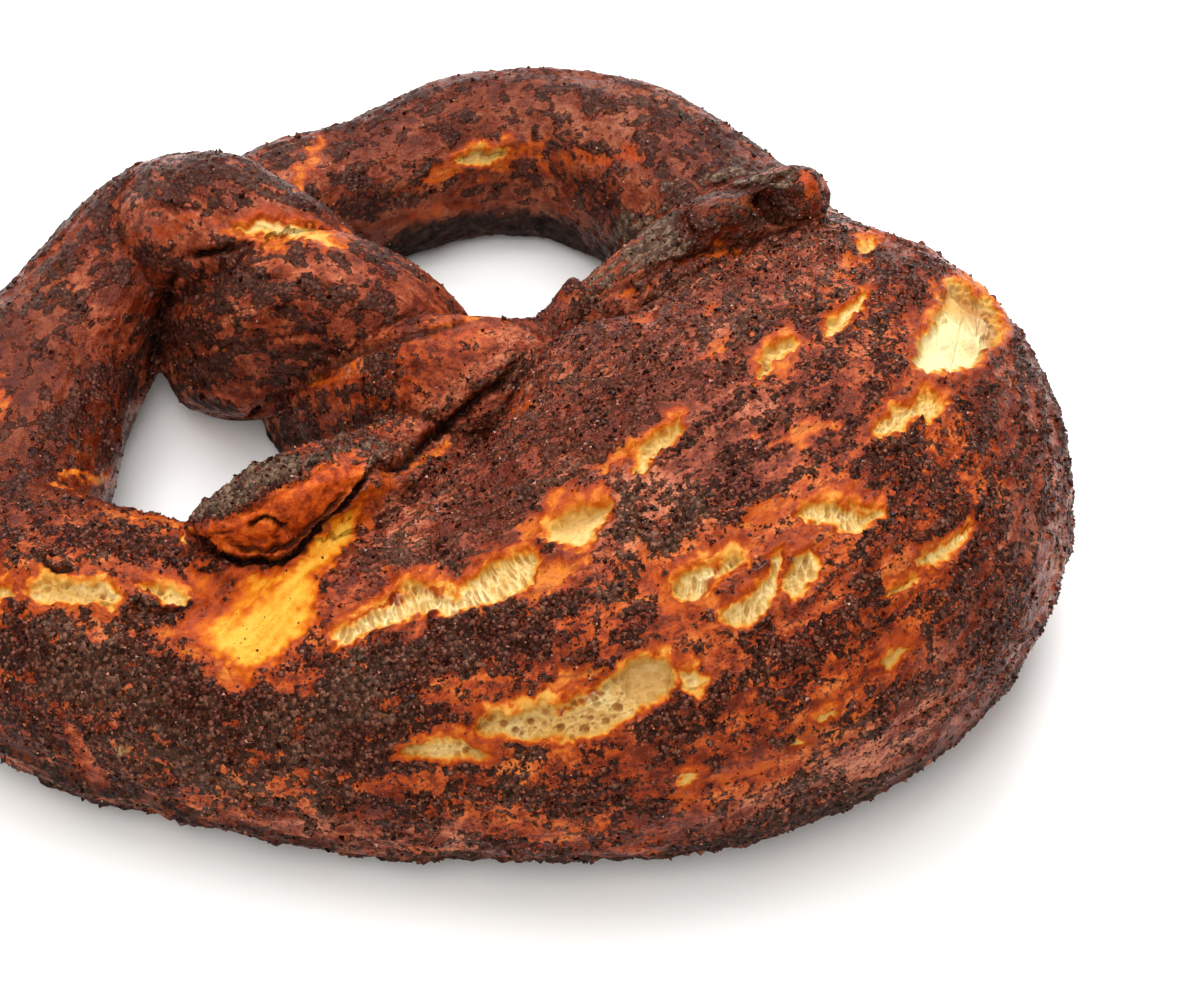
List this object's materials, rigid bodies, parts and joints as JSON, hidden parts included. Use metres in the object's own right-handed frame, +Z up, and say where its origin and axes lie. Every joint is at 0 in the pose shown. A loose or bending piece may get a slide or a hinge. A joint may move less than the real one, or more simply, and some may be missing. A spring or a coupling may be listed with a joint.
{
  "type": "cinnamon sugar pretzel",
  "caption": "Baked soft pretzel with a fat split belly, twisted centre and arm ends laid on its back edge, thickly crusted with dark cinnamon sugar",
  "frame": {"origin": "on the surface it rests on, under the middle of its outline", "axes": "+Z up, +Y from the fat belly toward the two loops, +X to the right when looking along +Y"},
  "size_m": [0.1397, 0.1355, 0.0421],
  "materials": {
    "browned_crust": "baked dough crust, browned and lightly glossy, under dark sugar crumbs"
  },
  "bodies": {
    "root": {"pretzel": "browned_crust"}
  },
  "joints": []
}
